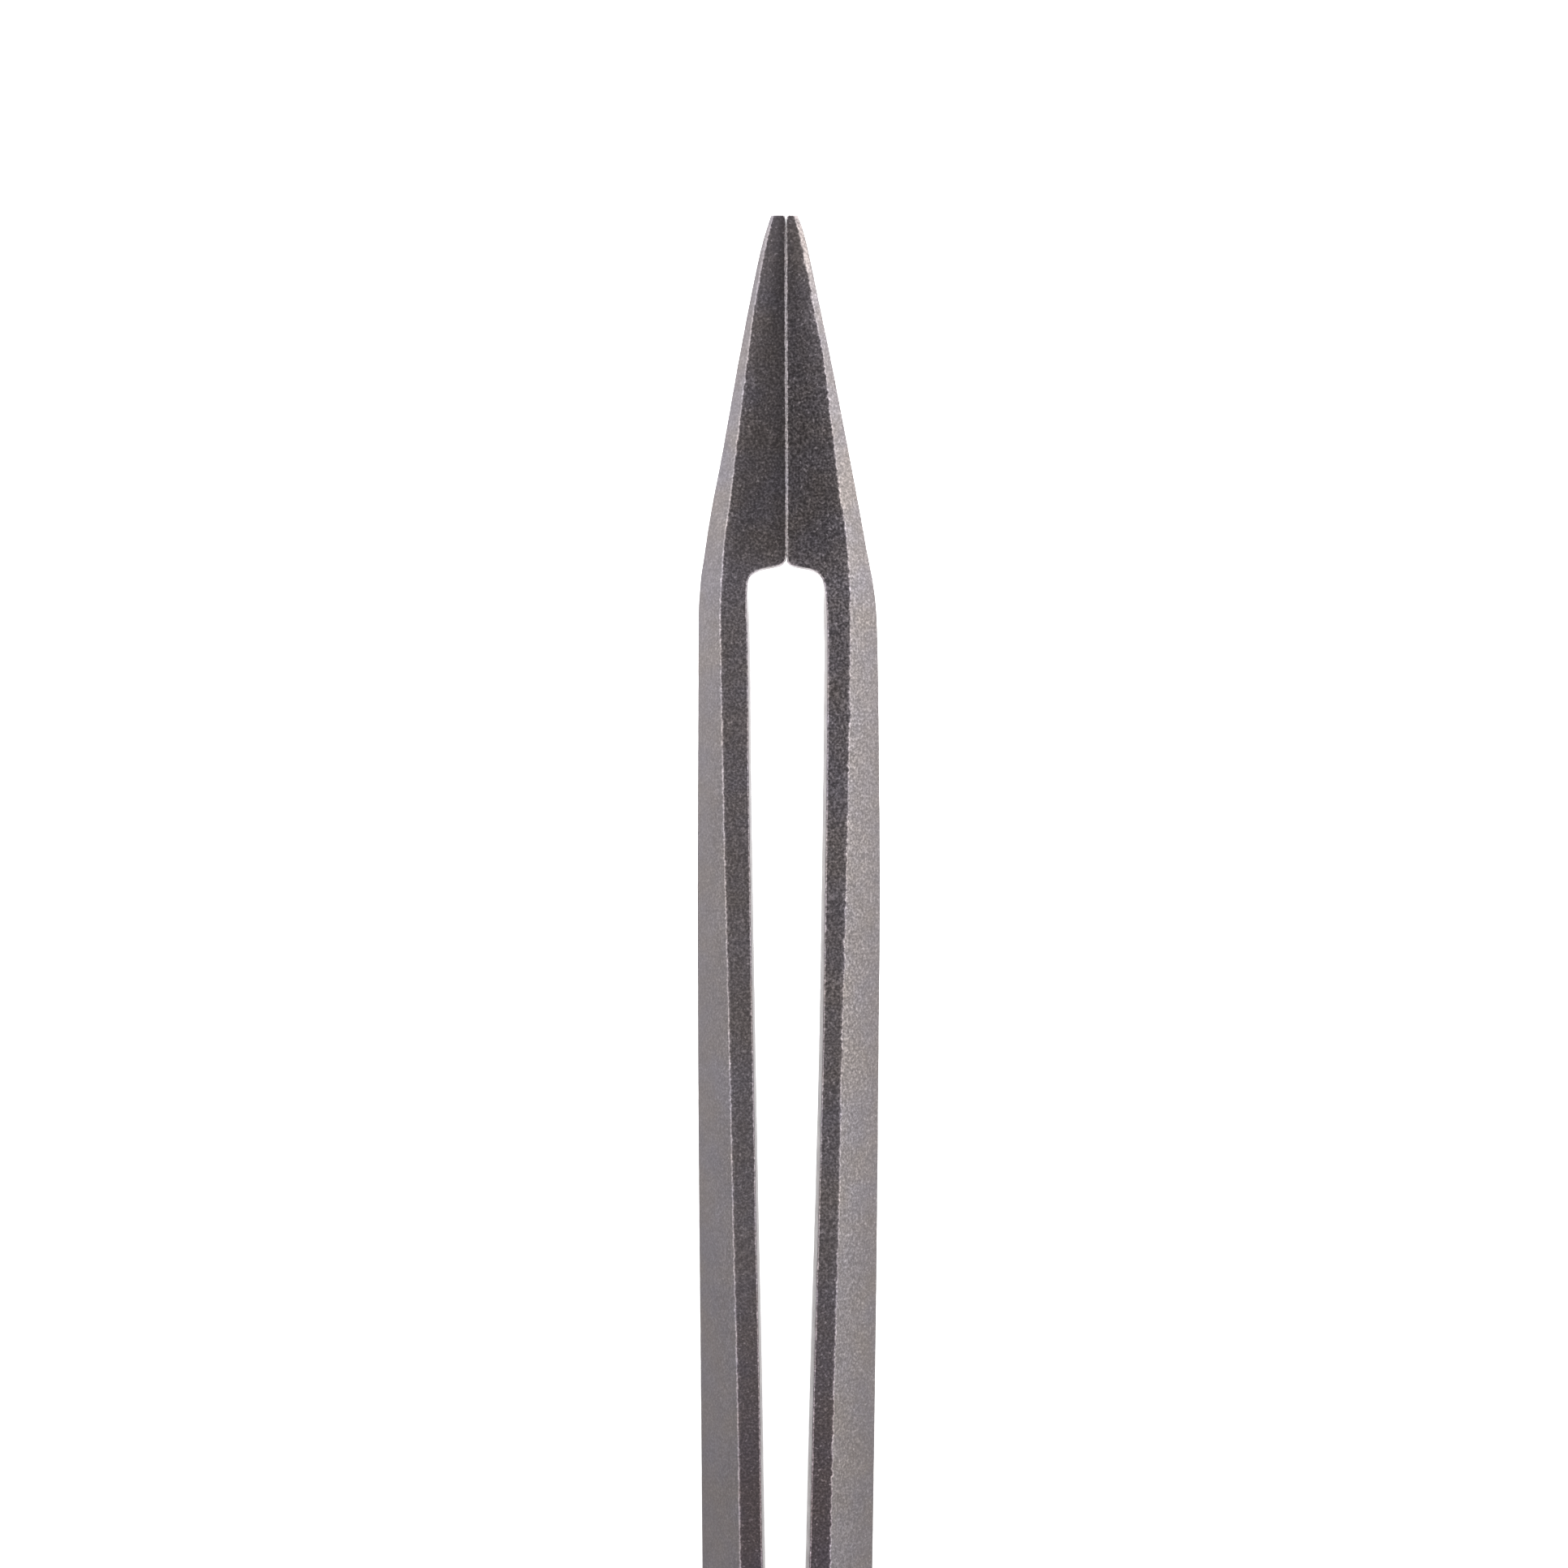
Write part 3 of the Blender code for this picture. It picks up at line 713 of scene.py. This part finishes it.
for side, mat in (("left", steel_left), ("right", steel_right)):
    bar = add(side + "_arm_bar", arm_mesh(side))
    drill(bar, 0.84)
    bar.data.materials.clear()
    bar.data.materials.append(mat)
    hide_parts(side + "_arm", side + "_tail")
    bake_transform(bar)


# --------------------------------------------------------------------- spacer
def spacer_piece():
    half_x = (spacer_hi[0] - spacer_lo[0]) / 2 / MM
    top = (spacer_hi[2] - spacer_lo[2]) / 2 / MM
    s0 = (TIP_Y - spacer_hi[1]) / MM
    s1 = (TIP_Y - spacer_lo[1]) / MM
    outline = []
    for k in range(49):
        z = -top + 2 * top * k / 48
        outline.append((s0 + 1.1 * (1 - (z / top) ** 2), z))
    c = HEEL_CORNER
    for k in range(25):
        a = math.radians(90 * k / 24)
        outline.append((s1 - c + c * math.sin(a), top - c + c * math.cos(a)))
    for k in range(25):
        a = math.radians(90 * k / 24)
        outline.append((s1 - c + c * math.cos(a), -(top - c) - c * math.sin(a)))
    bm = bmesh.new()
    verts = [bm.verts.new((-half_x * MM, TIP_Y - s * MM, MID_Z + z * MM))
             for s, z in outline]
    face = bm.faces.new(verts)
    out = bmesh.ops.extrude_face_region(bm, geom=[face])
    moved = [g for g in out["geom"] if isinstance(g, bmesh.types.BMVert)]
    bmesh.ops.translate(bm, verts=moved, vec=(2 * half_x * MM, 0, 0))
    bmesh.ops.recalc_face_normals(bm, faces=bm.faces)
    mesh = bpy.data.meshes.new("heel_spacer_plate")
    bm.to_mesh(mesh)
    bm.free()
    obj = add("heel_spacer_plate", mesh)
    drill(obj, 0.84)
    bevel = obj.modifiers.new("broken_edges", "BEVEL")
    bevel.width = 0.05 * MM
    bevel.segments = 3
    bevel.limit_method = "ANGLE"
    bevel.angle_limit = math.radians(50)
    bevel.harden_normals = False
    bake_modifiers(obj)
    obj.data.shade_smooth()
    obj.data.set_sharp_from_angle(angle=math.radians(40))
    obj.data.materials.clear()
    obj.data.materials.append(steel_spacer)
    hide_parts("heel_spacer")
    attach(obj, "heel")


spacer_piece()


# --------------------------------------------------------------------- rivets
def rivet_piece(name, node_name, seed):
    lo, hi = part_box(node_name)
    centre_y, tip = 0.5 * (lo[1] + hi[1]), hi[0] / MM
    head_r = (hi[2] - lo[2]) / 2 / MM
    grip = LEAF_OUTER + 0.02
    profile = [(0.0, 0.80), (grip * 0.5, 0.80), (grip - 0.03, 0.80), (grip, 0.80),
               (grip, 0.86), (grip, head_r - 0.05)]
    for k in range(5):                           # rounded rim
        a = math.radians(90 * k / 4)
        profile.append((grip + 0.05 - 0.05 * math.cos(a),
                        head_r - 0.05 + 0.05 * math.sin(a)))
    rise = tip - grip - 0.09
    for k in range(1, 13):                       # low dome with a peened flat
        a = math.radians(90 * k / 12)
        profile.append((grip + 0.09 + rise * math.sin(a) ** 2,
                        head_r * (0.27 + 0.70 * math.cos(a))))
    for r in (0.24, 0.16, 0.08):
        profile.append((tip, head_r * r))
    around = 64
    bm = bmesh.new()

    def ring(x, r, sign):
        out = []
        for i in range(around):
            a = 2 * math.pi * i / around
            dx = 0.0
            if x > grip + 0.06:                  # hammer facets left by setting
                q = Vector((r * math.cos(a) * 1.6, r * math.sin(a) * 1.6, seed + sign))
                dx = -0.018 * abs(noise.noise(q)) - 0.006 * abs(noise.noise(q * 3.1))
            rr = r
            if x > grip + 0.001 and r > head_r * 0.8:
                rr = r - 0.02 * abs(noise.noise(Vector((math.cos(a) * 1.7,
                                                        math.sin(a) * 1.7,
                                                        seed + 3 * sign))))
            out.append(bm.verts.new((sign * (x + dx) * MM,
                                     centre_y + rr * math.cos(a) * MM,
                                     MID_Z + rr * math.sin(a) * MM)))
        return out

    rows = [ring(x, r, -1.0) for x, r in reversed(profile)]
    rows += [ring(x, r, 1.0) for x, r in profile[1:]]
    for a, b in zip(rows, rows[1:]):
        for i in range(around):
            j = (i + 1) % around
            bm.faces.new((a[i], a[j], b[j], b[i]))
    for row in (rows[0], rows[-1]):
        c = sum((v.co for v in row), Vector()) / around
        mid = bm.verts.new(c)
        for i in range(around):
            bm.faces.new((row[i], row[(i + 1) % around], mid))
    bmesh.ops.recalc_face_normals(bm, faces=bm.faces)
    mesh = bpy.data.meshes.new(name)
    bm.to_mesh(mesh)
    bm.free()
    mesh.shade_smooth()
    mesh.set_sharp_from_angle(angle=math.radians(50))
    obj = add(name, mesh)
    mesh.materials.append(steel_rivet)
    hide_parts(node_name)
    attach(obj, "heel")


rivet_piece("front_rivet_set", "front_rivet", 1.5)
rivet_piece("rear_rivet_set", "rear_rivet", 8.5)


# ---------------------------------------------------------------------- stage
# a plain pale light table, brighter toward the tips and on the right
bpy.ops.mesh.primitive_circle_add(vertices=96, radius=3.0, fill_type="NGON",
                                  location=(0.0, 0.0, 0.0))
floor = bpy.context.object
floor.name = "floor"
fm = bpy.data.materials.new("pale_floor")
fm.use_nodes = True
ft = fm.node_tree
fs = ft.nodes["Principled BSDF"]
fs.inputs["Base Color"].default_value = (0.20, 0.20, 0.20, 1.0)
fs.inputs["Roughness"].default_value = 0.9
fs.inputs["Specular IOR Level"].default_value = 0.0
fc = ft.nodes.new("ShaderNodeTexCoord")
fx = ft.nodes.new("ShaderNodeSeparateXYZ")
ft.links.new(fc.outputs["Object"], fx.inputs["Vector"])
along = remap(ft, fx.outputs["Y"], -0.004, 0.056, GLOW_BOTTOM, GLOW_TOP)
side = remap(ft, fx.outputs["X"], -0.002, 0.016, 0.0, 1.0, smooth=True)
corner = math_node(ft, "MULTIPLY",
                   remap(ft, fx.outputs["Y"], 0.027, 0.044, 0.0, 0.45, smooth=True),
                   math_node(ft, "SUBTRACT", 1.0, side))
glow = math_node(ft, "MULTIPLY", math_node(ft, "ADD", along, corner),
                 remap(ft, side, 0.0, 1.0, 1.0, GLOW_RIGHT))
ft.links.new(glow, fs.inputs["Emission Strength"])
warm = ft.nodes.new("ShaderNodeCombineColor")
for channel, value in zip(warm.inputs, (1.015, 1.0, 0.96)):
    ft.links.new(remap(ft, side, 0.0, 1.0, 1.0, value), channel)
ft.links.new(warm.outputs["Color"], fs.inputs["Emission Color"])
floor.data.materials.append(fm)

# one large, weak softbox off to the right of the heel
softbox = bpy.data.lights.new("softbox", "AREA")
softbox.shape = "RECTANGLE"
softbox.size, softbox.size_y = 0.6, 0.4
softbox.energy = 1.3
softbox_at = bpy.data.objects.new("softbox", softbox)
softbox_at.location = (0.48, -0.52, 0.36)
softbox_at.rotation_euler = (Vector((0.0, 0.0, 0.0)) - softbox_at.location
                             ).to_track_quat("-Z", "Y").to_euler()
bpy.context.scene.collection.objects.link(softbox_at)

# soft surround: light near the horizon, dim overhead
world = bpy.data.worlds.new("soft_surround")
bpy.context.scene.world = world
world.use_nodes = True
wt = world.node_tree
bg = wt.nodes["Background"]
wc = wt.nodes.new("ShaderNodeTexCoord")
wx = wt.nodes.new("ShaderNodeSeparateXYZ")
wt.links.new(wc.outputs["Generated"], wx.inputs["Vector"])
wt.links.new(remap(wt, wx.outputs["Z"], SKY_LOW, SKY_HIGH, SKY_HORIZON,
                   SKY_ZENITH, smooth=True), bg.inputs["Strength"])
bg.inputs["Color"].default_value = (1.0, 0.955, 0.965, 1.0)

scene = bpy.context.scene
scene.view_settings.view_transform = "Standard"
scene.view_settings.look = "None"
scene.view_settings.exposure = 0.0
scene.view_settings.gamma = 1.0
